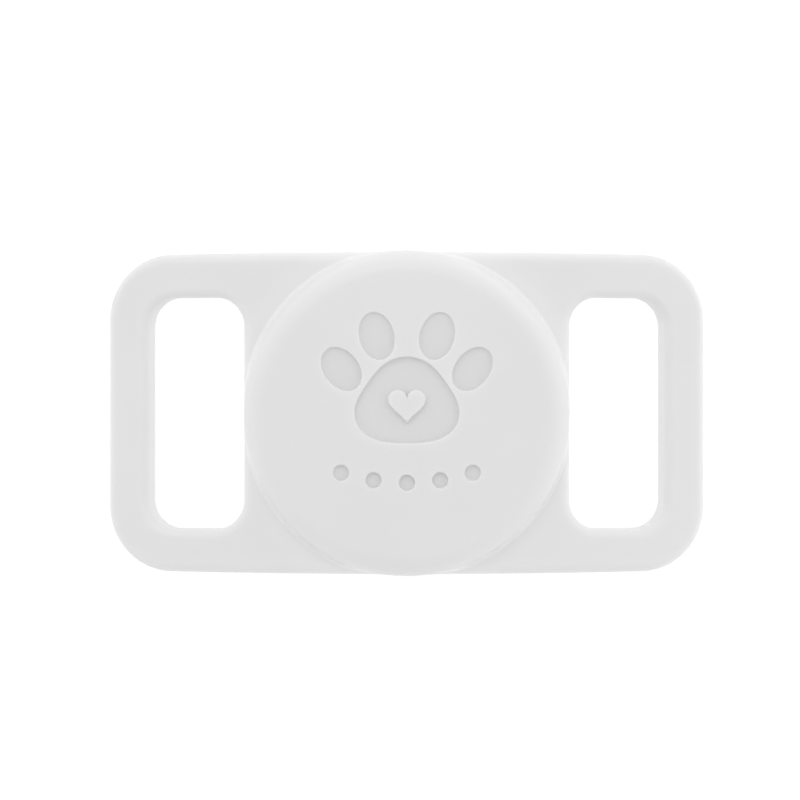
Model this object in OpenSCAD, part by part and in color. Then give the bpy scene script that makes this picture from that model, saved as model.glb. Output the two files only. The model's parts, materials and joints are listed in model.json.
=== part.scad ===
// Collar holder for a coin-shaped tracker tag, moulded in soft silicone, with the tag in its pocket.
// It lies on its back: the closed front faces +Z, the strap loops point along X, and Z is 0 at the
// flat back rim of the case. The wings curve back, and the tag leaves through the round mouth below.

/* [Strap loops] */
// Width of the collar webbing that goes through the slots
strap_w = 25; // [18:0.5:26]
// Length of each slot along the collar
slot_l = 10.6; // [8:0.1:14]
// Width of the bar at each end of the holder
end_bar_w = 4.8; // [4:0.1:6]
// Thickness of the wings
wing_t = 3; // [2.4:0.1:3.4]
// Radius on which the wings curve back
wing_bend_r = 110; // [106:1:200]
// How far the wings lie below the front face at the middle
wing_step = 3; // [2.8:0.1:4]
// Radius of the outer corners, seen from the front
corner_r = 7.1; // [4.9:0.1:7.6]
// Radius of the slot corners
slot_r = 3.2; // [2:0.1:3.6]
// Rounding along the edges of wings and slots
wing_edge_r = 1; // [0.5:0.05:1.15]

/* [Case] */
// Thickness of the wall around the tag
case_wall_t = 1.45; // [1.2:0.05:2.4]
// Thickness of the front wall at its middle
front_t = 1.7; // [1.3:0.05:2.4]
// Depth of the tag's back below the back rim
tag_inset = 1.2; // [1:0.05:1.6]
// Width of the lip that keeps the tag in
lip_w = 2.45; // [1.55:0.05:2.75]
// Rounding of the front edge
case_edge_r = 2.4; // [1.6:0.1:2.8]
// Radius of the slightly domed front face
case_crown_r = 230; // [160:5:500]
// Depth of the sunk paw print at its middle
print_d = 0.6; // [0.3:0.05:0.7]

/* [Tag] */
// Radius of the tag
tag_r = 15.95; // [15.9:0.05:16.4]
// Height of the tag
tag_h = 8; // [7.9:0.05:8.6]
// Thickness of the tag's front shell
shell_t = 1; // [0.8:0.05:1.1]
// Width of the tag's plastic rim around the battery cover
rim_w = 3.1; // [3:0.05:3.25]
// Thickness of the steel battery cover
cover_t = 0.4; // [0.3:0.05:0.45]
// Turn that frees the cover, in degrees
cover_turn = 20; // [18:1:24]
// Travel of the cell and cover while the cover turns
cell_rise = 0.3; // [0.2:0.05:0.35]

/* [Coin cell] */
// Width from the edge of the coin cell to the edge of the battery cover
cell_edge_w = 2.85; // [2.8:0.05:3.25]
// Height from the top of the coin cell to the front of the tag
over_cell_h = 4.1; // [4.1:0.05:4.3]

/* [Hidden] */
$fn = 96;

// One overrun for every cut, and steps per rounded edge
cut_over = 1;
arc_steps = 8;
edge_steps = 4;
crown_steps = 4;

// Clearances
strap_clear = 0.2;
tag_clear = 0.1;
cover_clear = 0.2;
cell_clear = 0.35;
fit_gap = 0.05;

// Case
case_r = tag_r + tag_clear + case_wall_t;
case_h = tag_inset + tag_h + tag_clear + front_t;
case_back_r = 0.8;
mouth_r = tag_r - lip_w;
mouth_edge_r = 0.6;

// Wings, measured along their curved front face from the middle
case_margin = 0.3;
side_setback = 0.15;
wing_top_z = case_h - wing_step;
wing_h = 2 * (case_r - side_setback);
slot_h = strap_w + strap_clear;
slot_in = case_r + case_margin;
slot_out = slot_in + slot_l;
wing_end = slot_out + end_bar_w;
wing_root = 1;
function bend_angle(run) = run / wing_bend_r * 180 / PI;

// Paw print on the front face
print_y = 3.3;
pad_r = 4.6;
pad_wide_share = 1.18;
pad_lobe_share = 0.09;
toe_r = 1.85;
toe_long_share = 1.4;
toe_ring_r = 7.9;
toe_angles = [28, 66, 114, 152];
toe_tilt_share = 0.62;
heart_r = 2;
heart_shares = [0.81, -0.31, -0.125, -0.06];
dot_r = 0.85;
dot_count = 5;
dot_ring_r = 24;
dot_step = 8.5;
dot_low_y = -7.4;
outline_steps = 32;

// Outline of the tag: domed faces that run into rounded edges, which end at a share of its height
tag_front_crown_r = 70;
front_edge_share = 0.574;
tag_front_edge_r = edge_to(tag_r, tag_front_crown_r, front_edge_share * tag_h);
tag_back_crown_r = 200;
back_edge_share = 0.405;
tag_back_edge_r = edge_to(tag_r, tag_back_crown_r, back_edge_share * tag_h);
split_share = 0.4;
split_z = split_share * tag_h;
seal_t = 0.1;
spigot_t = 0.8;
spigot_h = 0.8;
spigot_gap = 0.15;

// Battery cover with its bayonet ring
cover_r = tag_r - rim_w;
cover_skirt_h = 1.2;
ring_t = 0.95;
lug_count = 3;
lug_angle = 12;
lug_slack = 1;
lug_t = 0.5;
leg_t = 0.4;
leg_gap = 0.15;
slot_gap = 0.1;

// Rear frame: flange that the lugs hook, battery well and its floor
flange_gap = 0.4;
flange_t = 0.7;
well_wall_t = 0.7;
well_floor_t = 0.5;
moat_edge_w = 1.15;
contact_h = 0.5;

// Heights inside the tag, from its back
cell_r = cover_r - cell_edge_w;
cover_in_z = dome_z(tag_back_crown_r, cell_r) + cover_t;
cell_z = cover_in_z + fit_gap;
cell_top = tag_h - over_cell_h;
cell_h = cell_top - cell_z;
flange_z = cover_skirt_h + flange_gap;
flange_top = flange_z + flange_t;
lug_z = flange_top + cell_rise;
well_floor_z = cell_top + contact_h;
board_z = well_floor_z + well_floor_t;

// Radii inside the tag
recess_r = cover_r + cover_clear;
leg_r = cover_r - cover_t - leg_gap;
well_r = cell_r + cell_clear;
well_out_r = well_r + well_wall_t;
moat_r = cover_r + moat_edge_w;

// Speaker in the board's hole: its heights are shares of the room between the board's level and the shell
board_edge_w = 1.6;
board_out_r = moat_r - board_edge_w;
yoke_r_share = 0.46;
yoke_r = yoke_r_share * board_out_r;
yoke_t = 0.25;
yoke_rim_t = 0.35;
magnet_gap = 1.05;
magnet_r = yoke_r - yoke_rim_t - magnet_gap;
voice_coil_gap = 0.25;
voice_coil_r = yoke_r - yoke_rim_t - voice_coil_gap;
voice_coil_t = 0.5;
speaker_room = ceiling_z(yoke_r) - board_z;
yoke_share = 0.64;
yoke_h = yoke_share * speaker_room;
voice_coil_share = 0.7;
voice_coil_h = voice_coil_share * speaker_room;
coil_fit = 0.02;
nfc_gap = 2.9;
nfc_r = yoke_r + nfc_gap;
nfc_w = 1.2;
nfc_t = 0.15;

// Board: its parts are shares of its width and of the room between it and the shell
board_clear = 0.2;
board_in_r = yoke_r + board_clear;
board_w = board_out_r - board_in_r;
board_room = ceiling_z(board_out_r) - board_z;
board_t_share = 0.51;
board_t = board_t_share * board_room;
part_h_share = 0.42;
part_h = part_h_share * board_room;
chip_ring_r = board_in_r + board_w / 2;
module_share = 0.7;
chip_shares = [[0.4, 0.34], [0.31, 0.31], [0.46, 0.28], [0.34, 0.25]];
chip_angles = [155, 205, 250, 20];
capacitor_shares = [0.14, 0.08];
capacitor_in_share = 0.155;
capacitor_count = 8;
capacitor_ring_r = board_out_r - capacitor_in_share * board_w;
capacitor_start = 130;
capacitor_step = 30;

// Antennas on their carrier, whose top lies this deep below the tag's front
carrier_gap = 0.15;
carrier_t = 0.6;
carrier_drop = 3.3;
carrier_h = tag_h - carrier_drop - flange_top;
trace_t = 0.06;
trace_edge_w = 0.4;
trace_h = carrier_h - 2 * trace_edge_w;
trace_angles = [[0, 70], [120, 70], [240, 50]];

// Contacts and the cell's own pieces
side_contact_t = 0.2;
side_contact_turn = 16;
side_contact_angles = [60, 240];
side_contact_low = 0.3;
centre_plate_r = 2.2;
centre_plate_t = 0.12;
centre_tip_r = 1.1;
can_t = 0.25;
can_lip = 0.1;
gasket_t = 0.7;
gasket_h = 0.6;
cap_t = 0.25;
cap_rim_t = 0.35;
cell_fit = 0.02;

// Arc points from angle a1 to a2 about (x, y)
function arc(x, y, r, a1, a2, n) =
    [for (i = [0 : n]) let (a = a1 + (a2 - a1) * i / n) [x + r * cos(a), y + r * sin(a)]];

// Height of a dome of radius crown at distance r from its middle, above its lowest point
function dome_z(crown, r) = crown - sqrt(crown * crown - r * r);

// Radius of the rounded edge that runs from a dome down to the widest place, at depth below its top
function edge_to(r, crown, depth) =
    (crown * crown - r * r - pow(crown - depth, 2)) / (2 * (crown - r));

// Half outline of a domed face, from its middle at height z out to radius r, where it is widest
function domed(r, edge, crown, z) =
    let (reach = sqrt(pow(crown - edge, 2) - pow(r - edge, 2)), turn = atan2(reach, r - edge))
    concat(arc(0, z - crown, crown, 90, turn, crown_steps),
        arc(r - edge, z - crown + reach, edge, turn, 0, arc_steps));

function flipped(points) = [for (i = [len(points) - 1 : -1 : 0]) [points[i][0], -points[i][1]]];

// Half outline of the whole tag, grown by gap on every side
function tag_outline(gap) = concat(
    domed(tag_r + gap, tag_front_edge_r + gap, tag_front_crown_r + gap, tag_h + gap),
    flipped(domed(tag_r + gap, tag_back_edge_r + gap, tag_back_crown_r + gap, gap)));

// Height of the shell's inner ceiling at radius r
function ceiling_z(r) = tag_h - shell_t - dome_z(tag_front_crown_r - shell_t, r);

function ellipse(rx, ry) =
    [for (i = [0 : outline_steps - 1]) let (a = 360 * i / outline_steps) [rx * cos(a), ry * sin(a)]];

// Rounded three-cornered pad, one corner up
function pad_outline() = [for (i = [0 : outline_steps - 1])
    let (a = 360 * i / outline_steps, r = pad_r * (1 + pad_lobe_share * cos(3 * (a - 90))))
    [pad_wide_share * r * cos(a), r * sin(a)]];

function heart_outline() = [for (i = [0 : outline_steps - 1])
    let (a = 360 * i / outline_steps,
        heights = [for (k = [0 : len(heart_shares) - 1]) heart_shares[k] * cos((k + 1) * a)])
    [heart_r * pow(sin(a), 3), heart_r * (heights * [for (h = heights) 1])]];

// Side of a wing as [inset, height] from its back face to its front face at height 0
wing_side = concat(
    [for (p = arc(wing_edge_r, wing_edge_r - wing_t, wing_edge_r, 270, 180, edge_steps)) p],
    [for (p = arc(wing_edge_r, -wing_edge_r, wing_edge_r, 180, 90, edge_steps)) p]);

// Side of a slot: rounded the same way, but its last step runs straight on past each face, so that it
// meets the curved face at a clear angle
flare_turn = 90 / edge_steps;
flare_arc = arc(wing_edge_r, -wing_edge_r, wing_edge_r, 180, 90 + flare_turn, edge_steps - 1);
flare_end = flare_arc[edge_steps - 1];
flare_run = (cut_over - flare_end[1]) / tan(1.5 * flare_turn);
front_flare = concat([for (p = flare_arc) [-p[0], p[1]]], [[-flare_end[0] - flare_run, cut_over]]);
slot_side = concat([for (i = [edge_steps : -1 : 0]) [front_flare[i][0], -wing_t - front_flare[i][1]]],
    front_flare);

module ring(r_out, r_in, h) {
    difference() {
        cylinder(h = h, r = r_out);
        translate([0, 0, -cut_over]) cylinder(h = h + 2 * cut_over, r = r_in);
    }
}

// Part of a ring, centred on the angle at
module ring_arc(r_out, r_in, h, at, angle) {
    rotate([0, 0, at - angle / 2]) rotate_extrude(angle = angle)
        translate([r_in, 0]) square([r_out - r_in, h]);
}

module wing_frame(a) {
    translate([0, 0, wing_top_z - wing_bend_r]) rotate([0, a, 0]) translate([0, 0, wing_bend_r]) children();
}

// Piece of a plate past x = 0, w wide, with shaped sides and round corners
module plate_end(side, w, r) {
    edge = concat([[0, side[0][1]]], [for (p = side) [r - p[0], p[1]]], [[0, side[len(side) - 1][1]]]);
    for (turn = [0, -90])
        translate([0, (turn == 0 ? 1 : -1) * (w / 2 - r), 0]) rotate([0, 0, turn])
            rotate_extrude(angle = 90) polygon(edge);
    translate([0, w / 2 - r, 0]) rotate([90, 0, 0]) linear_extrude(w - 2 * r) polygon(edge);
}

// Section across a plate w wide, as [across, height] points lifted by up
function section(side, w, up) =
    let (half = [for (p = side) [up + p[1], w / 2 - p[0]]]) concat(half, flipped(half));

// Right wing: a curved strip that starts inside the case, and a flat end with round corners
module wing() {
    a = bend_angle(wing_end - corner_r);
    wing_frame(a) {
        plate_end(wing_side, wing_h, corner_r);
        translate([0, 0, -wing_bend_r]) rotate([90, 0, 0]) rotate([0, 0, 90])
            rotate_extrude(angle = a - bend_angle(wing_root)) polygon(section(wing_side, wing_h, wing_bend_r));
    }
}

module slot_cut() {
    half_l = slot_l / 2 - slot_r;
    wing_frame(bend_angle(slot_in + slot_l / 2)) {
        translate([half_l, 0, 0]) plate_end(slot_side, slot_h, slot_r);
        translate([-half_l, 0, 0]) rotate([0, 0, 180]) plate_end(slot_side, slot_h, slot_r);
        translate([-half_l, 0, 0]) rotate([90, 0, 90]) linear_extrude(2 * half_l)
            polygon([for (p = section(slot_side, slot_h, 0)) [p[1], p[0]]]);
    }
}

module wings() {
    for (turn = [0, 180])
        rotate([0, 0, turn]) difference() {
            wing();
            slot_cut();
        }
}

module case_solid() {
    rotate_extrude() polygon(concat(domed(case_r, case_edge_r, case_crown_r, case_h),
        arc(case_r - case_back_r, case_back_r, case_back_r, 0, -90, edge_steps), [[0, 0]]));
}

module mouth_cut() {
    flare_r = mouth_r + mouth_edge_r;
    rotate_extrude() polygon(concat([[0, -cut_over], [flare_r, -cut_over]],
        arc(flare_r, mouth_edge_r, mouth_edge_r, 270, 180, edge_steps),
        [[mouth_r, tag_inset + cut_over], [0, tag_inset + cut_over]]));
}

module paw_print() {
    translate([0, print_y]) {
        difference() {
            translate([0, -pad_r / 2]) polygon(pad_outline());
            translate([0, -pad_r / 2]) polygon(heart_outline());
        }
        for (a = toe_angles)
            translate([toe_ring_r * cos(a), toe_ring_r * sin(a) - pad_r / 2])
                rotate([0, 0, (a - 90) * toe_tilt_share]) polygon(ellipse(toe_r, toe_long_share * toe_r));
    }
    for (i = [0 : dot_count - 1]) let (a = 90 + (i - (dot_count - 1) / 2) * dot_step)
        translate([dot_ring_r * cos(a), dot_low_y + dot_ring_r * (1 - sin(a))]) circle(r = dot_r);
}

module holder_body() {
    color("#f2f2f2") difference() {
        union() {
            wings();
            case_solid();
        }
        translate([0, 0, tag_inset]) rotate_extrude() polygon(tag_outline(tag_clear));
        mouth_cut();
        translate([0, 0, case_h - print_d]) linear_extrude(print_d + cut_over) paw_print();
    }
}

module in_tag() {
    translate([0, 0, tag_inset]) children();
}

module tag_shell() {
    color("#f7f7f5") in_tag() difference() {
        rotate_extrude() polygon(tag_outline(0));
        rotate_extrude() polygon(concat(
            domed(tag_r - shell_t, tag_front_edge_r - shell_t, tag_front_crown_r - shell_t, tag_h - shell_t),
            [[tag_r - shell_t, -cut_over], [0, -cut_over]]));
        translate([0, 0, -cut_over]) cylinder(h = split_z + seal_t + cut_over, r = tag_r + cut_over);
    }
}

module shell_seal() {
    color("#c9c4b4") in_tag() translate([0, 0, split_z])
        ring(tag_r - seal_t, tag_r - shell_t, seal_t);
}

// Openings in the flange: a narrow path for each leg and a wide notch where its lug goes in
module bayonet_cuts() {
    wide = lug_angle + 2 * lug_slack;
    path_in_r = leg_r - leg_t - slot_gap;
    for (i = [0 : lug_count - 1]) rotate([0, 0, 360 * i / lug_count]) {
        ring_arc(leg_r + slot_gap, path_in_r, flange_t + 2 * cut_over,
            (cover_turn - wide / 2) / 2, cover_turn + wide / 2);
        ring_arc(cover_r + slot_gap, path_in_r - slot_gap, flange_t + 2 * cut_over, cover_turn, wide);
    }
}

module rear_frame() {
    spigot_r = tag_r - shell_t - spigot_gap;
    color("#eeeeec") in_tag() {
        difference() {
            rotate_extrude() polygon(tag_outline(0));
            translate([0, 0, split_z]) cylinder(h = tag_h, r = tag_r + cut_over);
            translate([0, 0, -cut_over]) cylinder(h = flange_z + cut_over, r = recess_r);
            translate([0, 0, -cut_over]) cylinder(h = tag_h, r = well_r);
            translate([0, 0, flange_top]) ring(moat_r, well_out_r, tag_h);
            translate([0, 0, flange_z - cut_over]) bayonet_cuts();
        }
        translate([0, 0, split_z]) ring(spigot_r, spigot_r - spigot_t, spigot_h);
        translate([0, 0, split_z]) ring(well_out_r, well_r, board_z - split_z);
        translate([0, 0, well_floor_z]) cylinder(h = well_floor_t, r = well_r);
    }
}

module antenna_carrier() {
    carrier_r = moat_r - carrier_gap;
    color("#2c2c2e") in_tag() translate([0, 0, flange_top])
        ring(carrier_r, carrier_r - carrier_t, carrier_h);
}

module antenna_traces() {
    carrier_r = moat_r - carrier_gap;
    color("#c68346") in_tag() translate([0, 0, flange_top + (carrier_h - trace_h) / 2])
        for (t = trace_angles) ring_arc(carrier_r + trace_t, carrier_r, trace_h, t[0], t[1]);
}

module nfc_coil() {
    color("#b8743a") in_tag() translate([0, 0, ceiling_z(nfc_r) - coil_fit - nfc_t])
        ring(nfc_r, nfc_r - nfc_w, nfc_t);
}

module voice_coil() {
    color("#c8682e") in_tag() translate([0, 0, ceiling_z(voice_coil_r) - coil_fit - voice_coil_h])
        ring(voice_coil_r, voice_coil_r - voice_coil_t, voice_coil_h);
}

module magnet_yoke() {
    color("#9a9ca0") in_tag() translate([0, 0, board_z]) {
        cylinder(h = yoke_t, r = yoke_r);
        ring(yoke_r, yoke_r - yoke_rim_t, yoke_h);
    }
}

module speaker_magnet() {
    color("#5b5d61") in_tag() translate([0, 0, board_z + yoke_t]) cylinder(h = yoke_h - yoke_t, r = magnet_r);
}

module circuit_board() {
    color("#1f5d3a") in_tag() translate([0, 0, board_z]) ring(board_out_r, board_in_r, board_t);
}

module on_board(r, a) {
    in_tag() rotate([0, 0, a]) translate([r, 0, board_z + board_t]) children();
}

// Block on the board, its two sides given as shares of the board's width
module board_part(shares) {
    translate([-shares[0] / 2 * board_w, -shares[1] / 2 * board_w, 0])
        cube([shares[0] * board_w, shares[1] * board_w, part_h]);
}

module radio_module() {
    color("#b9bcc0") on_board(chip_ring_r, 90) board_part([module_share, module_share]);
}

module board_chips() {
    color("#26272a") for (i = [0 : len(chip_shares) - 1])
        on_board(chip_ring_r, chip_angles[i]) board_part(chip_shares[i]);
}

module capacitors() {
    color("#a98b5d") for (i = [0 : capacitor_count - 1])
        on_board(capacitor_ring_r, capacitor_start + i * capacitor_step) board_part(capacitor_shares);
}

module side_contacts() {
    low = flange_z + side_contact_low;
    color("#d7b560") in_tag() for (a = side_contact_angles)
        translate([0, 0, low]) ring_arc(well_r - fit_gap, well_r - fit_gap - side_contact_t,
            well_floor_z - low, a, side_contact_turn);
}

module centre_contact() {
    color("#d7b560") in_tag() {
        translate([0, 0, well_floor_z - centre_plate_t]) cylinder(h = centre_plate_t, r = centre_plate_r);
        translate([0, 0, cell_top]) cylinder(h = contact_h - centre_plate_t, r = centre_tip_r);
    }
}

module in_cell(z) {
    in_tag() translate([0, 0, cell_z + z]) children();
}

module cell_can() {
    color("#c3c6c9") in_cell(0) difference() {
        cylinder(h = cell_h - can_lip, r = cell_r);
        translate([0, 0, can_t]) cylinder(h = cell_h, r = cell_r - can_t);
    }
}

module cell_core() {
    color("#3b3b3d") in_cell(can_t)
        cylinder(h = cell_h - can_t - gasket_h - cell_fit, r = cell_r - can_t - cell_fit);
}

module cell_gasket() {
    gasket_r = cell_r - can_t - cell_fit;
    color("#dcdcd4") in_cell(cell_h - gasket_h) ring(gasket_r, gasket_r - gasket_t, gasket_h - can_lip / 2);
}

module cell_cap() {
    cap_r = cell_r - can_t - gasket_t - 2 * cell_fit;
    color("#d4d7da") in_cell(cell_h - gasket_h) difference() {
        cylinder(h = gasket_h, r = cap_r);
        translate([0, 0, -cut_over]) cylinder(h = gasket_h - cap_t + cut_over, r = cap_r - cap_rim_t);
    }
}

// Domed sheet with a short skirt, open towards the cell
module battery_cover() {
    inner_r = cover_r - cover_t;
    inner_crown = tag_back_crown_r - cover_t;
    turn = acos(inner_r / inner_crown);
    color("#d9dbde") in_tag() difference() {
        intersection() {
            cylinder(h = cover_skirt_h, r = cover_r);
            rotate_extrude() polygon(tag_outline(0));
        }
        rotate_extrude() polygon(concat(
            [[0, tag_h], [inner_r, tag_h]],
            arc(0, tag_back_crown_r, inner_crown, -turn, -90, crown_steps)));
    }
}

module cover_ring() {
    weld_r = cover_r - cover_t - cell_fit;
    low = dome_z(tag_back_crown_r, cover_r) + cover_t;
    color("#b4b7bb") in_tag() {
        translate([0, 0, low]) ring(weld_r, weld_r - ring_t, cover_skirt_h - low);
        for (i = [0 : lug_count - 1]) let (a = 360 * i / lug_count) {
            translate([0, 0, low]) ring_arc(leg_r, leg_r - leg_t, lug_z + lug_t - low, a, lug_angle);
            translate([0, 0, lug_z]) ring_arc(cover_r, leg_r - leg_t, lug_t, a, lug_angle);
        }
    }
}

holder_body();
tag_shell();
shell_seal();
rear_frame();
antenna_carrier();
antenna_traces();
nfc_coil();
voice_coil();
speaker_magnet();
magnet_yoke();
circuit_board();
radio_module();
board_chips();
capacitors();
side_contacts();
centre_contact();
cell_can();
cell_core();
cell_gasket();
cell_cap();
battery_cover();
cover_ring();
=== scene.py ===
"""Looks of the tracker tag holder: a soft white silicone moulding with a coin tag in its pocket.

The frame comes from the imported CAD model. The moulding is meshed here from a distance field, so that its
edges, fillets and sunk print are rounded as on the real one. Sizes are in millimetres until a mesh is made.
"""
import json
import math

import bpy
import numpy as np
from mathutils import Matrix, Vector


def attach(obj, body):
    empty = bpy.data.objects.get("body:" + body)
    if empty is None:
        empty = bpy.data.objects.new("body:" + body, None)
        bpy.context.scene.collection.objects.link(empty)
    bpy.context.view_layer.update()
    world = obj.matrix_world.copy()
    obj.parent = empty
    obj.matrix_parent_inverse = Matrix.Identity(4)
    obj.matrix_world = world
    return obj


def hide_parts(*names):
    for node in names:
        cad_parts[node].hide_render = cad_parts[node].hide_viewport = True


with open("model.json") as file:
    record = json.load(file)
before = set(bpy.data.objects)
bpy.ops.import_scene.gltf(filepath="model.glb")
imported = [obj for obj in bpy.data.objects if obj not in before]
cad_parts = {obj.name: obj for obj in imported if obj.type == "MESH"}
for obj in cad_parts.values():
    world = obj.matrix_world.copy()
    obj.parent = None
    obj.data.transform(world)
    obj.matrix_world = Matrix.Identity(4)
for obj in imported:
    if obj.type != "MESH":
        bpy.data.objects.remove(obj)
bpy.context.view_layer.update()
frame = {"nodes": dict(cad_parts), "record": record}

MM = 0.001

# Case
CASE_R = 17.5
CASE_H = 10.997
CASE_CROWN_R = 230
CASE_EDGE_R = 2.4
CASE_BACK_R = 0.8

# Pocket for the tag, and the mouth in the back
POCKET_R = 16.05
POCKET_LOW, POCKET_HIGH = 1.1, 9.3
POCKET_FRONT_CROWN_R, POCKET_FRONT_EDGE_R = 70.1, 3.5
POCKET_BACK_CROWN_R, POCKET_BACK_EDGE_R = 200.1, 2.9
MOUTH_R = 13.5
MOUTH_TOP = 4
LIP_EDGE_R = 0.5

# Wings, measured along their curved front face from the middle
WING_BEND_R = 110
WING_TOP_Z = 8
WING_T = 3
WING_EDGE_R = 1.05
WING_END = 33.2
WING_HALF_W = 17.35
WING_BOW_SHARE = 0.012
CORNER_R = 7.1
SLOT_IN, SLOT_OUT = 17.8, 28.57
SLOT_HALF_W = 12.54
SLOT_R = 3.2
SLOT_FRONT_EDGE_R, SLOT_BACK_EDGE_R = 1, 0.4
CREASE_R = 0.25

# Sunk paw print: a pad with a raised heart, four toes and an arc of dots
PRINT_FLOOR = 10.4
PRINT_EDGE_R = 0.12
PRINT_Y = 3.3
PAD_R = 4.6
PAD_LOBES = 3
PAD_WIDE_SHARE, PAD_LOBE_SHARE = 1.18, 0.09
HEART_R = 2
HEART_SHARES = (0.81, -0.31, -0.125, -0.06)
HEART_STEPS = 72
TOE_R, TOE_LONG_SHARE = 1.85, 1.4
TOE_RING_R = 7.9
TOE_ANGLES = (28, 66, 114, 152)
TOE_TILT_SHARE = 0.62
DOT_R, DOT_COUNT = 0.85, 5
DOT_RING_R, DOT_STEP, DOT_LOW_Y = 24, 8.5, -7.4

# Where the print lies: inside this radius, and between these lines
PRINT_REACH = 12.2
PRINT_X = 9.8
PRINT_LOW_Y, PRINT_HIGH_Y = -8.8, 11.4

# Mesh spacing over the plain surfaces and over the print, and the share of its faces that are kept
COARSE, FINE = 0.3, 0.1
MARGIN = 0.6
KEEP_SHARE = 0.38

# Rounds that set the mesh on the surface and even it out, and rounds that only set it there
EVEN_ROUNDS, LAST_ROUNDS = 3, 2
EVEN_SHARE = 0.5

# Steps over which a field's slope is taken, the least slopes to divide by, and a length beyond any other
SLOPE_STEP, FLAT_SLOPE_STEP = 0.004, 0.001
LEAST_SLOPE, LEAST_FLAT_SLOPE = 1e-9, 1e-3
FAR = 1e9

# All finishes. Noise scales are in cycles a millimetre, and most of a noise lies between low and high
PLAIN_IOR = 1.5
TINT_SCALE, ROUGH_SCALE = 0.12, 0.5
NOISE_LOW, NOISE_HIGH = 0.3, 0.7
RING_STRETCH, RING_SHRINK = 4, 0.08

# Silicone
SILICONE_DARK, SILICONE_LIGHT = 0.843, 0.857
SILICONE_ROUGH = (0.38, 0.46)
SILICONE_IOR = 1.45
SILICONE_TINT_SCALE, SILICONE_ROUGH_SCALE = 0.08, 0.35
SOFT_SHARE, SOFT_REACH = 0.5, 0.9
GRAIN_SCALE, GRAIN_H = 9, 0.0015
UNEVEN_SCALE, UNEVEN_H = 0.9, 0.006
PARTING_H, PARTING_IN, PARTING_OUT = 0.015, 0.02, 0.09
# The print's floor: the share of its colour left under painted shade, its added roughness, and the depths
# and fade over which both set in
SUNK_SHADE_SHARE, SUNK_ROUGHER = 0.95, 0.2
SUNK_FROM, SUNK_TO, SUNK_FADE = 0.02, 0.2, 0.2
# Painted highlight: the light grey of the line where the wings meet the case, and the share and reach of
# the painted light on the wing beside it
CREASE_HIGHLIGHT_GREY = 0.99
BESIDE_LIGHT_SHARE, BESIDE_LIGHT_REACH = 0.2, 3.5

# Light from straight above, straight below and the side, and what +Y, +X and both ends of X add to it
WORLD_TOP = 0.612
WORLD_UNDER = 0.7
WORLD_SIDE = 0.87
WORLD_Y = 0.045
WORLD_X = 0.085
WORLD_BOTH_X = 0.34

# Key light, in metres and watts
KEY_PLACE, KEY_SIZE, KEY_POWER = (-0.15, 0.45, 0.6), 0.5, 0.8

# Floor: its own glow and its grey in the light; half its width in metres, and its gap below the part
FLOOR_GLOW, FLOOR_GREY = 0.74, 0.38
FLOOR_HALF = 0.3
FLOOR_GAP = 0.05

# Camera: millimetres a pixel at the height of the case's rim, and the pixel where the part's middle lies
PICTURE = 800
PICTURE_CENTRE = (406.8, 413.2)
PICTURE_SCALE = 0.1072
RIM_Z = 8.6
CAMERA_DISTANCE = 300
SENSOR = 36
CLIP_NEAR, CLIP_FAR = 0.01, 10

# The mix node has sockets for each kind of value, found by number
MIX_SHARE, MIX_FLOATS, MIX_COLOURS = 0, (2, 3), (6, 7)
MIX_FLOAT_OUT, MIX_COLOUR_OUT = 0, 2


def round_max(a, b, r):
    """Intersection of two fields, its edge rounded by r."""
    edge = np.hypot(np.maximum(r + a, 0), np.maximum(r + b, 0))
    return np.minimum(-r, np.maximum(a, b)) + edge


def round_min(a, b, r):
    """Union of two fields, its crease filled with a fillet of radius r."""
    return -round_max(-a, -b, r)


def ball(rho, z, top, r):
    """Distance to a ball of radius r with its highest point at top, or its lowest if r is negative."""
    return np.hypot(rho, z - (top - r)) - abs(r)


def rounded_box(u, v, half_u, half_v, r):
    a, b = np.abs(u) - half_u + r, np.abs(v) - half_v + r
    return np.hypot(np.maximum(a, 0), np.maximum(b, 0)) + np.minimum(np.maximum(a, b), 0) - r


def closed_outline(x, y, points):
    """Distance to a closed outline, negative inside."""
    best = np.full(x.shape, FAR)
    inside = np.zeros(x.shape, bool)
    for (x1, y1), (x2, y2) in zip(points, points[1:] + points[:1]):
        dx, dy = x2 - x1, y2 - y1
        t = np.clip(((x - x1) * dx + (y - y1) * dy) / (dx * dx + dy * dy), 0, 1)
        best = np.minimum(best, np.hypot(x - x1 - t * dx, y - y1 - t * dy))
        spans = (y1 > y) != (y2 > y)
        if dy:
            inside ^= spans & (x < x1 + (y - y1) * dx / dy)
    return np.where(inside, -best, best)


def true_distance(level, x, y):
    """A level set's value over its slope, which near the outline is the distance to it."""
    step = FLAT_SLOPE_STEP
    value = level(x, y)
    slope = np.hypot(level(x + step, y) - value, level(x, y + step) - value) / step
    return value / np.maximum(slope, LEAST_FLAT_SLOPE)


def pad_level(x, y):
    x = x / PAD_WIDE_SHARE
    lobes = np.sin(PAD_LOBES * np.arctan2(y, x))
    return np.hypot(x, y) - PAD_R * (1 - PAD_LOBE_SHARE * lobes)


def toe_level(x, y):
    return np.hypot(x / TOE_R, y / (TOE_LONG_SHARE * TOE_R)) - 1


def heart_field(x, y):
    """Distance to the heart's outline, worked out only where it is near."""
    points = []
    for i in range(HEART_STEPS):
        a = 2 * math.pi * i / HEART_STEPS
        height = sum(share * math.cos((k + 1) * a) for k, share in enumerate(HEART_SHARES))
        points.append((HEART_R * math.sin(a) ** 3, HEART_R * height))
    field = np.hypot(x, y) - HEART_R
    near = field < HEART_R / 2
    field[near] = closed_outline(x[near], y[near], points)
    return field


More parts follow.
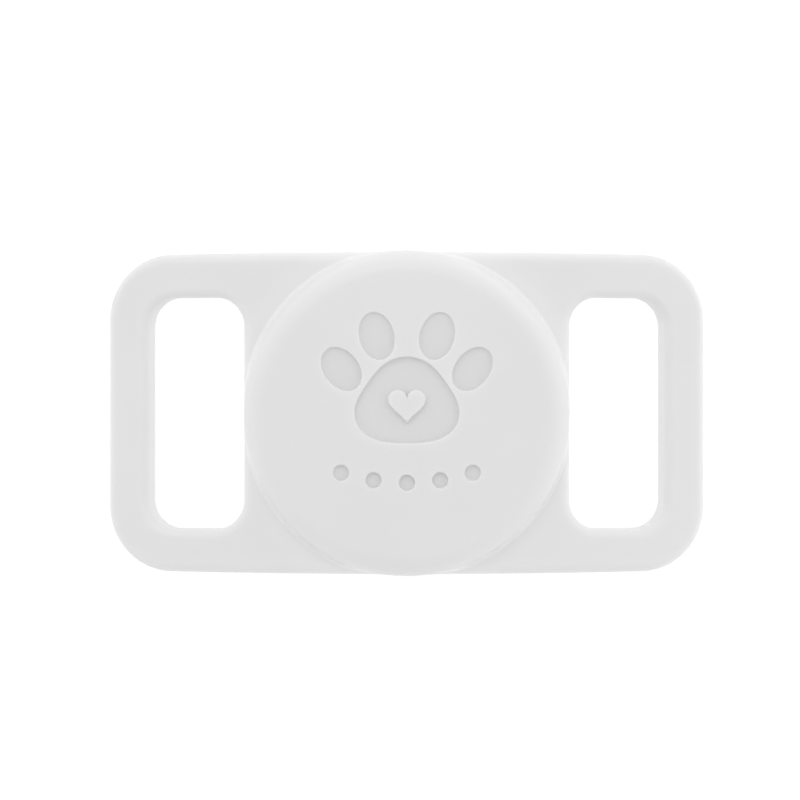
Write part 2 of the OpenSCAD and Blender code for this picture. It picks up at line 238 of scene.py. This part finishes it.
def print_field(x, y):
    """Flat distance to the print's outlines, negative inside."""
    y = y - PRINT_Y + PAD_R / 2
    field = np.maximum(true_distance(pad_level, x, y), -heart_field(x, y))
    for angle in TOE_ANGLES:
        across = x - TOE_RING_R * math.cos(math.radians(angle))
        up = y - TOE_RING_R * math.sin(math.radians(angle))
        tilt = math.radians((angle - 90) * TOE_TILT_SHARE)
        along = across * math.cos(tilt) + up * math.sin(tilt)
        out = up * math.cos(tilt) - across * math.sin(tilt)
        field = np.minimum(field, true_distance(toe_level, along, out))
    y = y + PRINT_Y - PAD_R / 2
    for i in range(DOT_COUNT):
        a = math.radians(90 + (i - (DOT_COUNT - 1) / 2) * DOT_STEP)
        cx, cy = DOT_RING_R * math.cos(a), DOT_LOW_Y + DOT_RING_R * (1 - math.sin(a))
        field = np.minimum(field, np.hypot(x - cx, y - cy) - DOT_R)
    return field


def wing_field(x, y, z):
    """Both wings as one plate that bends back, with a slot on either side."""
    below = z - (WING_TOP_Z - WING_BEND_R)
    along = WING_BEND_R * np.arctan2(np.abs(x), below)
    height = np.hypot(x, below) - WING_BEND_R
    bowed = y * (1 + WING_BOW_SHARE * (along / WING_END) ** 2)
    outline = rounded_box(along, bowed, WING_END, WING_HALF_W, CORNER_R)
    middle, half = (SLOT_IN + SLOT_OUT) / 2, (SLOT_OUT - SLOT_IN) / 2
    slot = rounded_box(along - middle, y, half, SLOT_HALF_W, SLOT_R)
    edge = round_max(outline, np.abs(height + WING_T / 2) - WING_T / 2, WING_EDGE_R)
    front = round_max(-slot, height, SLOT_FRONT_EDGE_R)
    back = round_max(-slot, -height - WING_T, SLOT_BACK_EDGE_R)
    return np.maximum(edge, np.maximum(front, back))


def holder_field(x, y, z, flat=None):
    """Distance to the surface of the moulding, negative inside the silicone."""
    rho = np.hypot(x, y)
    case = round_max(rho - CASE_R, ball(rho, z, CASE_H, CASE_CROWN_R), CASE_EDGE_R)
    case = round_max(case, -z, CASE_BACK_R)
    body = round_min(case, wing_field(x, y, z), CREASE_R)
    pocket_front = ball(rho, z, POCKET_HIGH, POCKET_FRONT_CROWN_R)
    pocket_back = ball(rho, z, POCKET_LOW, -POCKET_BACK_CROWN_R)
    pocket = round_max(rho - POCKET_R, pocket_front, POCKET_FRONT_EDGE_R)
    pocket = round_max(pocket, pocket_back, POCKET_BACK_EDGE_R)
    mouth = np.maximum(rho - MOUTH_R, z - MOUTH_TOP)
    body = round_max(np.maximum(body, -pocket), -mouth, LIP_EDGE_R)
    if flat is None:
        flat = np.full(x.shape, PRINT_REACH)
        near = (z > PRINT_FLOOR - FINE) & (rho < PRINT_REACH)
        flat[near] = print_field(x[near], y[near])
    body = np.maximum(body, np.abs(y) - CASE_R)
    return round_max(body, -round_max(flat, PRINT_FLOOR - z, PRINT_EDGE_R), PRINT_EDGE_R)


def spaced(low, high, fine_low, fine_high):
    """Grid lines from low to high, closer together between fine_low and fine_high."""
    parts = [(low, fine_low, COARSE), (fine_low, fine_high, FINE), (fine_high, high, COARSE)]
    lines = [np.linspace(a, b, max(1, round((b - a) / step)), endpoint=False) for a, b, step in parts]
    return np.concatenate([*lines, [high]])


def gathered(index, rows, size):
    """Sum of the rows that share an index."""
    return np.stack([np.bincount(index, rows[:, k], size) for k in range(3)], axis=1)


def net(values, lines):
    """Points and four-sided faces of the surface where values change sign, a point in each crossed cell."""
    cells = np.array(values.shape) - 1
    total, count = np.zeros((cells.prod(), 3)), np.zeros(cells.prod())
    quads = []
    for axis in range(3):
        low, high = [slice(None)] * 3, [slice(None)] * 3
        low[axis], high[axis] = slice(0, -1), slice(1, None)
        a, b = values[tuple(low)], values[tuple(high)]
        index = np.argwhere((a < 0) != (b < 0))
        a, b = a[tuple(index.T)], b[tuple(index.T)]
        point = np.stack([lines[k][index[:, k]] for k in range(3)], axis=1)
        step = lines[axis][index[:, axis] + 1] - lines[axis][index[:, axis]]
        point[:, axis] += step * a / (a - b)
        second, third = (axis + 1) % 3, (axis + 2) % 3
        corners = []
        for back_second, back_third in ((1, 1), (0, 1), (0, 0), (1, 0)):
            cell = index.copy()
            cell[:, second] -= back_second
            cell[:, third] -= back_third
            flat = np.ravel_multi_index(tuple(cell.T), cells)
            corners.append(flat)
            count += np.bincount(flat, minlength=len(count))
            total += gathered(flat, point, len(count))
        quad = np.stack(corners, axis=1)
        quads.append(np.where((a < 0)[:, None], quad, quad[:, ::-1]))
    used = np.flatnonzero(count)
    number = np.full(len(count), -1)
    number[used] = np.arange(len(used))
    return total[used] / count[used][:, None], number[np.concatenate(quads)]


def to_surface(points, field):
    """The step that takes each point to the surface, and the unit normal there."""
    value = field(*points.T)
    ahead = [field(*(points + shift).T) for shift in SLOPE_STEP * np.eye(3)]
    slope = np.stack([there - value for there in ahead], axis=1) / SLOPE_STEP
    size = np.linalg.norm(slope, axis=1)[:, None] + LEAST_SLOPE
    normal = slope / size
    return np.clip(-value[:, None] / size, -FINE, FINE) * normal, normal


def settle(points, quads, field):
    """Sets the points on the surface and evens them out along it."""
    count = np.bincount(quads.ravel(), minlength=len(points))[:, None]
    for _ in range(EVEN_ROUNDS):
        step, normal = to_surface(points, field)
        points = points + step
        middles = points[quads].mean(axis=1)
        away = sum(gathered(quads[:, k], middles, len(points)) for k in range(4)) / count - points
        points = points + EVEN_SHARE * (away - normal * (away * normal).sum(axis=1)[:, None])
    for _ in range(LAST_ROUNDS):
        points = points + to_surface(points, field)[0]
    return points


def in_scene(name, data):
    """A new object of the scene that shows data."""
    obj = bpy.data.objects.new(name, data)
    bpy.context.scene.collection.objects.link(obj)
    return obj


def mesh_object(name, points, faces):
    """An object whose mesh has points in metres."""
    mesh = bpy.data.meshes.new(name)
    mesh.from_pydata(points, [], faces)
    return in_scene(name, mesh)


def thin_out(obj):
    """Merges faces where the surface is nearly flat."""
    obj.modifiers.new("thin_out", "DECIMATE").ratio = KEEP_SHARE
    mesh = bpy.data.meshes.new_from_object(obj.evaluated_get(bpy.context.evaluated_depsgraph_get()))
    obj.modifiers.clear()
    obj.data = mesh


def shade_by_field(obj, field):
    """Sets the points on the surface again and gives each the field's own normal."""
    mesh = obj.data
    flat = np.empty(3 * len(mesh.vertices))
    mesh.vertices.foreach_get("co", flat)
    points = flat.reshape(-1, 3) / MM
    points += to_surface(points, field)[0]
    mesh.vertices.foreach_set("co", (points * MM).ravel())
    mesh.polygons.foreach_set("use_smooth", [True] * len(mesh.polygons))
    mesh.normals_split_custom_set_from_vertices(to_surface(points, field)[1].tolist())


def make_holder():
    end = WING_END + MARGIN
    lines = [spaced(-end, end, -PRINT_X, PRINT_X),
             spaced(-CASE_R - MARGIN, CASE_R + MARGIN, PRINT_LOW_Y, PRINT_HIGH_Y),
             spaced(-MARGIN, CASE_H + MARGIN, PRINT_FLOOR - 2 * FINE, CASE_H + FINE)]
    flat = print_field(*np.meshgrid(lines[0], lines[1], indexing="ij"))[:, :, None]
    values = holder_field(*np.meshgrid(*lines, indexing="ij"), flat=flat)
    points, quads = net(values, lines)
    points = settle(points, quads, holder_field)
    obj = mesh_object("holder_moulding", (points * MM).tolist(), quads.tolist())
    thin_out(obj)
    shade_by_field(obj, holder_field)
    return obj


# Materials. Each is made of nodes that read the object's own coordinates.
def node_tree(name):
    material = bpy.data.materials.new(name)
    material.use_nodes = True
    tree = material.node_tree
    return material, tree, tree.nodes["Principled BSDF"]


def grey(value):
    return value, value, value


def add(tree, kind, **values):
    """A node with its properties and unlinked inputs set by name."""
    node = tree.nodes.new(kind)
    for key, value in values.items():
        if hasattr(node, key):
            setattr(node, key, value)
        else:
            node.inputs[key.replace("_", " ").title()].default_value = value
    return node


def coordinates(tree):
    """Object coordinates in millimetres."""
    place = add(tree, "ShaderNodeTexCoord")
    scale = add(tree, "ShaderNodeMapping")
    scale.inputs["Scale"].default_value = (1 / MM, 1 / MM, 1 / MM)
    tree.links.new(place.outputs["Object"], scale.inputs["Vector"])
    return scale.outputs["Vector"]


def calc(tree, operation, *values):
    """A sum on sockets and numbers, such as ADD or MULTIPLY."""
    node = add(tree, "ShaderNodeMath", operation=operation)
    for socket, value in zip(node.inputs, values):
        if isinstance(value, (int, float)):
            socket.default_value = value
        else:
            tree.links.new(value, socket)
    return node.outputs["Value"]


def length(tree, a, b):
    """Length of the diagonal over sides a and b."""
    return calc(tree, "SQRT", calc(tree, "ADD", calc(tree, "POWER", a, 2), calc(tree, "POWER", b, 2)))


def from_axis(tree):
    """Radius about the tag's axis, x, y and z, in millimetres."""
    parts = add(tree, "ShaderNodeSeparateXYZ")
    tree.links.new(coordinates(tree), parts.inputs["Vector"])
    x, y, z = parts.outputs
    return length(tree, x, y), x, y, z


def turned(tree):
    """Coordinates that stretch a noise into rings, as turning and polishing leave them."""
    radius, x, y, _ = from_axis(tree)
    rings = add(tree, "ShaderNodeCombineXYZ")
    for value, share, socket in ((radius, RING_STRETCH, "X"), (x, RING_SHRINK, "Y"), (y, RING_SHRINK, "Z")):
        tree.links.new(calc(tree, "MULTIPLY", value, share), rings.inputs[socket])
    return rings.outputs["Vector"]


def noise(tree, vector, scale, detail=3, roughness=0.55):
    node = add(tree, "ShaderNodeTexNoise", scale=scale, detail=detail, roughness=roughness)
    tree.links.new(vector, node.inputs["Vector"])
    return node.outputs["Fac"]


def spread(tree, value, low, high):
    """A noise's value as one from low to high."""
    node = add(tree, "ShaderNodeMapRange")
    node.inputs["From Min"].default_value = NOISE_LOW
    node.inputs["From Max"].default_value = NOISE_HIGH
    node.inputs["To Min"].default_value = low
    node.inputs["To Max"].default_value = high
    tree.links.new(value, node.inputs["Value"])
    return node.outputs["Result"]


def ramp(tree, value, low, high):
    """0 at low, 1 at high and smooth between."""
    node = add(tree, "ShaderNodeMapRange", interpolation_type="SMOOTHSTEP")
    node.inputs["From Min"].default_value = low
    node.inputs["From Max"].default_value = high
    tree.links.new(value, node.inputs["Value"])
    return node.outputs["Result"]


def ramp_down(tree, value, low, high):
    """1 at low, 0 at high and smooth between."""
    return calc(tree, "SUBTRACT", 1, ramp(tree, value, low, high))


def mixed(tree, share, first, second, blend="MIX"):
    """First colour mixed with the second by share. A colour is a socket or three numbers."""
    node = add(tree, "ShaderNodeMix", data_type="RGBA", blend_type=blend)
    tree.links.new(share, node.inputs[MIX_SHARE])
    for number, colour in zip(MIX_COLOURS, (first, second)):
        if isinstance(colour, tuple):
            node.inputs[number].default_value = (*colour, 1)
        else:
            tree.links.new(colour, node.inputs[number])
    return node.outputs[MIX_COLOUR_OUT]


def bump(tree, shader, value, height, below=None):
    """Bump of height in millimetres, on top of another bump's normal if below is given."""
    node = add(tree, "ShaderNodeBump")
    node.inputs["Strength"].default_value = 1
    node.inputs["Distance"].default_value = height * MM
    tree.links.new(value, node.inputs["Height"])
    if below:
        tree.links.new(below, node.inputs["Normal"])
    tree.links.new(node.outputs["Normal"], shader.inputs["Normal"])
    return node.outputs["Normal"]


# Finishes by the record's slots: dark and light colour, least and most roughness, noise scale of the grain
PLASTICS = {
    "shell_plastic": ((0.83, 0.83, 0.82), (0.86, 0.86, 0.85), (0.1, 0.2), 0.5),
    "frame_plastic": ((0.78, 0.78, 0.77), (0.82, 0.82, 0.81), (0.34, 0.46), 7),
    "seal_adhesive": ((0.38, 0.34, 0.24), (0.48, 0.43, 0.32), (0.5, 0.7), 3),
    "carrier_plastic": (grey(0.018), grey(0.03), (0.4, 0.55), 6),
    "board": ((0.008, 0.075, 0.03), (0.014, 0.11, 0.05), (0.25, 0.4), 4),
    "chip_black": (grey(0.012), grey(0.022), (0.45, 0.6), 9),
    "ceramic": ((0.26, 0.17, 0.09), (0.34, 0.23, 0.13), (0.4, 0.55), 5),
    "cell_fill": (grey(0.03), grey(0.05), (0.7, 0.9), 6),
    "gasket": ((0.66, 0.66, 0.58), (0.72, 0.72, 0.65), (0.3, 0.45), 3),
}
METALS = {
    "copper": ((0.60, 0.26, 0.13), (0.72, 0.36, 0.20), (0.25, 0.4), 4),
    "magnet": (grey(0.42), grey(0.5), (0.2, 0.32), 5),
    "yoke_steel": (grey(0.48), grey(0.56), (0.3, 0.45), 5),
    "can_metal": (grey(0.6), grey(0.66), (0.3, 0.42), 3),
    "contact_gold": ((0.74, 0.50, 0.18), (0.84, 0.60, 0.26), (0.2, 0.32), 4),
    "cell_steel": (grey(0.60), grey(0.68), (0.22, 0.34), 3),
    "cover_steel": (grey(0.56), grey(0.61), (0.16, 0.22), 2),
    "ring_steel": (grey(0.55), grey(0.62), (0.28, 0.4), 4),
}
TURNED_METALS = ("copper", "cell_steel", "cover_steel", "ring_steel")
PLAIN_GRAIN_H = 0.01
OTHER_GRAIN_H = {"cell_fill": 0.03, "cover_steel": 0.004}


def plain_finish(name):
    """A finish with broad colour variation, uneven roughness and a fine bump, all at real scale."""
    dark, light, rough, scale = METALS[name] if name in METALS else PLASTICS[name]
    made, tree, shader = node_tree(name)
    shader.inputs["Metallic"].default_value = float(name in METALS)
    shader.inputs["IOR"].default_value = PLAIN_IOR
    place = coordinates(tree)
    if name in TURNED_METALS:
        fine = broad = noise(tree, turned(tree), scale)
    else:
        fine, broad = noise(tree, place, scale), noise(tree, place, TINT_SCALE)
    colour = mixed(tree, spread(tree, broad, 0, 1), dark, light)
    tree.links.new(colour, shader.inputs["Base Color"])
    uneven = spread(tree, noise(tree, place, ROUGH_SCALE), *rough)
    tree.links.new(uneven, shader.inputs["Roughness"])
    bump(tree, shader, fine, OTHER_GRAIN_H.get(name, PLAIN_GRAIN_H))
    return made


def sunk(tree):
    """1 on the floor of the print, which the mould leaves rougher, and 0 elsewhere. Its colour there is
    darkened as painted shade.
    """
    radius, _, _, z = from_axis(tree)
    drop = calc(tree, "MULTIPLY", calc(tree, "POWER", radius, 2), 1 / (2 * CASE_CROWN_R))
    depth = calc(tree, "SUBTRACT", CASE_H, calc(tree, "ADD", z, drop))
    near = ramp_down(tree, radius, PRINT_REACH, PRINT_REACH + SUNK_FADE)
    return calc(tree, "MULTIPLY", ramp(tree, depth, SUNK_FROM, SUNK_TO), near)


def wing_height(tree):
    """Height above the wings' front face."""
    _, x, _, z = from_axis(tree)
    drop = calc(tree, "MULTIPLY", calc(tree, "POWER", x, 2), 1 / (2 * WING_BEND_R))
    return calc(tree, "ADD", calc(tree, "SUBTRACT", z, WING_TOP_Z), drop)


def parting_line(tree):
    """1 on the faint ridge that the mould leaves halfway up the edges, and 0 elsewhere."""
    away = calc(tree, "ABSOLUTE", calc(tree, "ADD", wing_height(tree), WING_T / 2))
    return ramp_down(tree, away, PARTING_IN, PARTING_OUT)


def crease(tree):
    """Painted highlight: 1 where the wings' front meets the case, less as painted light on the wing beside
    it, and 0 elsewhere.
    """
    height = wing_height(tree)
    away = calc(tree, "SUBTRACT", from_axis(tree)[0], CASE_R + CREASE_R / 2)
    reach = length(tree, height, away)
    line = ramp_down(tree, reach, CREASE_R / 2, 2 * CREASE_R)
    beside = ramp_down(tree, reach, 2 * CREASE_R, BESIDE_LIGHT_REACH)
    beside = calc(tree, "MULTIPLY", beside, calc(tree, "GREATER_THAN", away, 0))
    return calc(tree, "MAXIMUM", line, calc(tree, "MULTIPLY", beside, BESIDE_LIGHT_SHARE))


def silicone():
    """Soft white silicone, with a painted highlight in the crease, painted shade on the print's floor,
    which is also rougher, and a faint parting line.
    """
    made, tree, shader = node_tree("silicone")
    place = coordinates(tree)
    broad = spread(tree, noise(tree, place, SILICONE_TINT_SCALE, detail=2), 0, 1)
    floor = sunk(tree)
    colour = mixed(tree, broad, grey(SILICONE_DARK), grey(SILICONE_LIGHT))
    # Painted highlight in the crease, and painted light on the wing beside it
    colour = mixed(tree, crease(tree), colour, grey(CREASE_HIGHLIGHT_GREY))
    # Painted shade on the print's floor
    colour = mixed(tree, floor, colour, grey(SUNK_SHADE_SHARE), "MULTIPLY")
    tree.links.new(colour, shader.inputs["Base Color"])
    rough = spread(tree, noise(tree, place, SILICONE_ROUGH_SCALE, detail=4), *SILICONE_ROUGH)
    tree.links.new(calc(tree, "MULTIPLY_ADD", floor, SUNK_ROUGHER, rough), shader.inputs["Roughness"])
    shader.inputs["IOR"].default_value = SILICONE_IOR
    shader.inputs["Subsurface Weight"].default_value = SOFT_SHARE
    shader.inputs["Subsurface Radius"].default_value = (1, 1, 1)
    shader.inputs["Subsurface Scale"].default_value = SOFT_REACH * MM
    grain = bump(tree, shader, noise(tree, place, GRAIN_SCALE, detail=2), GRAIN_H)
    uneven = bump(tree, shader, noise(tree, place, UNEVEN_SCALE, detail=2), UNEVEN_H, below=grain)
    bump(tree, shader, parting_line(tree), PARTING_H, below=uneven)
    return made


# Stage
def make_world():
    """Light by direction on the part, and plain white for the camera and for reflections."""
    world = bpy.data.worlds.new("studio")
    bpy.context.scene.world = world
    world.use_nodes = True
    tree = world.node_tree
    background = tree.nodes["Background"]
    background.inputs["Color"].default_value = (1, 1, 1, 1)
    place = add(tree, "ShaderNodeTexCoord")
    parts = add(tree, "ShaderNodeSeparateXYZ")
    tree.links.new(place.outputs["Generated"], parts.inputs["Vector"])
    x, y, z = parts.outputs
    light = calc(tree, "MULTIPLY_ADD", calc(tree, "ABSOLUTE", z), WORLD_TOP - WORLD_SIDE, WORLD_SIDE)
    light = calc(tree, "MULTIPLY_ADD", calc(tree, "MINIMUM", z, 0), WORLD_TOP - WORLD_UNDER, light)
    light = calc(tree, "MULTIPLY_ADD", y, WORLD_Y, light)
    light = calc(tree, "MULTIPLY_ADD", x, WORLD_X, light)
    light = calc(tree, "MULTIPLY_ADD", calc(tree, "POWER", x, 2), WORLD_BOTH_X, light)
    path = add(tree, "ShaderNodeLightPath")
    shiny = calc(tree, "MAXIMUM", path.outputs["Is Glossy Ray"], path.outputs["Is Transmission Ray"])
    seen = calc(tree, "MAXIMUM", path.outputs["Is Camera Ray"], shiny)
    mix = add(tree, "ShaderNodeMix", data_type="FLOAT")
    tree.links.new(seen, mix.inputs[MIX_SHARE])
    tree.links.new(light, mix.inputs[MIX_FLOATS[0]])
    mix.inputs[MIX_FLOATS[1]].default_value = 1
    tree.links.new(mix.outputs[MIX_FLOAT_OUT], background.inputs["Strength"])


def make_floor():
    """A white floor with faint shadows, seen by camera and reflections only, and from below by nothing."""
    half = FLOOR_HALF
    corners = [(-half, -half, 0), (half, -half, 0), (half, half, 0), (-half, half, 0)]
    floor = mesh_object("floor", corners, [(0, 1, 2, 3)])
    floor.location.z = -FLOOR_GAP * MM
    floor.visible_diffuse = False
    floor.visible_shadow = False
    made = bpy.data.materials.new("floor_white")
    made.use_nodes = True
    tree = made.node_tree
    tree.nodes.clear()
    out = add(tree, "ShaderNodeOutputMaterial")
    side = add(tree, "ShaderNodeNewGeometry")
    glow = add(tree, "ShaderNodeEmission")
    glow.inputs["Color"].default_value = (*grey(FLOOR_GLOW), 1)
    faint = add(tree, "ShaderNodeBsdfDiffuse")
    faint.inputs["Color"].default_value = (*grey(FLOOR_GREY), 1)
    both = add(tree, "ShaderNodeAddShader")
    tree.links.new(glow.outputs[0], both.inputs[0])
    tree.links.new(faint.outputs[0], both.inputs[1])
    clear = add(tree, "ShaderNodeBsdfTransparent")
    back = add(tree, "ShaderNodeMixShader")
    tree.links.new(side.outputs["Backfacing"], back.inputs[0])
    tree.links.new(both.outputs[0], back.inputs[1])
    tree.links.new(clear.outputs[0], back.inputs[2])
    tree.links.new(back.outputs[0], out.inputs["Surface"])
    floor.data.materials.append(made)


def softbox(name, place, size, power):
    """A square light at place that faces the part."""
    light = bpy.data.lights.new(name, "AREA")
    light.shape = "SQUARE"
    light.size = size
    light.energy = power
    box = in_scene(name, light)
    box.location = place
    box.rotation_euler = (-Vector(place)).to_track_quat("-Z", "Y").to_euler()


def make_camera():
    """Straight down on the front face, with +Y up in the picture."""
    data = bpy.data.cameras.new("camera")
    data.sensor_width = SENSOR
    data.lens = data.sensor_width * CAMERA_DISTANCE / (PICTURE_SCALE * PICTURE)
    data.clip_start, data.clip_end = CLIP_NEAR, CLIP_FAR
    camera = in_scene("camera", data)
    across, down = PICTURE_CENTRE
    camera.location = ((PICTURE / 2 - across) * PICTURE_SCALE * MM,
                       (down - PICTURE / 2) * PICTURE_SCALE * MM,
                       (RIM_Z + CAMERA_DISTANCE) * MM)
    bpy.context.scene.camera = camera


holder = make_holder()
holder.data.materials.append(silicone())
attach(holder, "holder")
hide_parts("holder_body")

finishes = {name: plain_finish(name) for name in [*PLASTICS, *METALS]}
for part in frame["record"]["subparts"]:
    if part["node"] != "holder_body":
        node = frame["nodes"][part["node"]]
        for place in node.material_slots:
            place.material = finishes[part["material_slot"]]

make_world()
make_floor()
softbox("key", KEY_PLACE, KEY_SIZE, KEY_POWER)
make_camera()
bpy.context.scene.view_settings.view_transform = "Standard"
